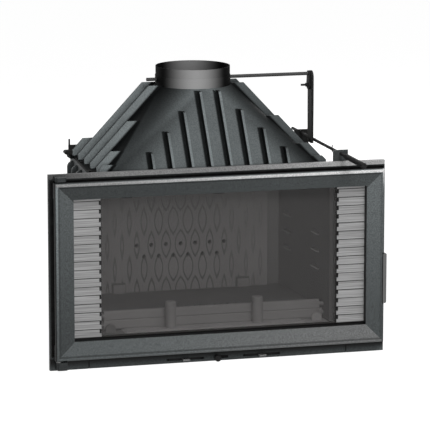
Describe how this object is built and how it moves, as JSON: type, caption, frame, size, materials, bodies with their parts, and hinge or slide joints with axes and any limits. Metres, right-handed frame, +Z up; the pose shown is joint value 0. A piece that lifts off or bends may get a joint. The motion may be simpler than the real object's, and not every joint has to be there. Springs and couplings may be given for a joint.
{
  "type": "fireplace insert",
  "caption": "Cast-iron fireplace insert with a glazed side-hung door, slatted panels, a finned hood rising to a round flue collar, and a damper worked by a lever and push rod.",
  "frame": {"origin": "on the floor under the middle of the bounding box", "axes": "+X to the right seen from the front, +Y to the rear, +Z up"},
  "size_m": [1.126, 0.8, 0.928],
  "materials": {
    "cast_iron": "matt",
    "firebox_iron": "matt, pale grey",
    "anthracite_paint": "fine-textured matt paint",
    "stainless": "satin",
    "glass": "clear, lightly tinted",
    "rope": "woven",
    "plain_steel": "plain",
    "brass": "plain",
    "black_steel": "satin black"
  },
  "bodies": {
    "insert": {"base": "cast_iron", "left_side_panel": "cast_iron", "right_side_panel": "cast_iron", "back_panel": "cast_iron", "hood": "cast_iron", "flue_collar": "cast_iron", "front_plate": "cast_iron", "left_liner": "firebox_iron", "right_liner": "firebox_iron", "rear_liner": "firebox_iron", "fireback": "firebox_iron", "baffle": "firebox_iron", "hearth_plate": "firebox_iron", "grate": "firebox_iron", "front_sill": "firebox_iron", "air_deflector": "firebox_iron", "log_guard": "firebox_iron", "left_post": "firebox_iron", "right_post": "firebox_iron", "surround": "anthracite_paint", "plinth_panel": "anthracite_paint", "hinge_bracket_upper": "anthracite_paint", "hinge_bracket_lower": "anthracite_paint", "surround_bolts": "plain_steel", "hood_bolts": "plain_steel", "bracket_screws": "plain_steel", "hinge_pin_upper": "plain_steel", "hinge_pin_lower": "plain_steel", "latch_strike": "plain_steel", "ash_pan": "plain_steel", "hinge_washer": "brass", "rod_bracket_front": "black_steel", "rod_bracket_rear": "black_steel", "left_rear_bracket": "black_steel"},
    "door": {"door_frame": "anthracite_paint", "glass": "glass", "glass_gasket": "rope", "glass_clips": "plain_steel", "clip_screws": "plain_steel", "door_seal": "rope", "left_slat_panel": "stainless", "right_slat_panel": "stainless", "handle_pin": "plain_steel"},
    "handle": {"door_handle": "stainless"},
    "damper": {"damper_shaft": "black_steel", "damper_plate": "black_steel", "damper_screws": "plain_steel", "crank_plate": "black_steel", "lever": "black_steel", "clamp_bolt": "black_steel"},
    "control_rod": {"push_rod": "black_steel", "rod_grip": "black_steel", "split_pin": "black_steel", "drive_pin": "black_steel"},
    "left_slider": {"left_air_slider": "anthracite_paint"},
    "right_slider": {"right_air_slider": "anthracite_paint"},
    "knob_slide": {"air_knob": "black_steel"}
  },
  "joints": [
    {"name": "door_hinge", "type": "hinge", "parent": "insert", "child": "door", "pos_m": [-0.54, -0.205, 0.328], "axis": [0, 0, -1], "range_deg": [0, 100]},
    {"name": "handle_turn", "type": "hinge", "parent": "door", "child": "handle", "pos_m": [0.536, -0.192, 0.254], "axis": [0, 0, 1], "range_deg": [0, 22]},
    {"name": "damper_turn", "type": "hinge", "parent": "insert", "child": "damper", "pos_m": [0, 0.155, 0.886], "axis": [1, 0, 0], "range_deg": [-14.5, 14.5]},
    {"name": "rod_slide", "type": "slide", "parent": "insert", "child": "control_rod", "axis": [0, 1, 0], "range_m": [-0.058, 0.058]},
    {"name": "left_slider_slide", "type": "slide", "parent": "insert", "child": "left_slider", "axis": [1, 0, 0], "range_m": [-0.045, 0.045]},
    {"name": "right_slider_slide", "type": "slide", "parent": "insert", "child": "right_slider", "axis": [1, 0, 0], "range_m": [-0.045, 0.045]},
    {"name": "knob_slide_x", "type": "slide", "parent": "insert", "child": "knob_slide", "axis": [1, 0, 0], "range_m": [0, 0.035]}
  ],
  "couplings": [
    {"joint": "rod_slide", "follows": "damper_turn", "m_per_rad": 0.22918}
  ]
}
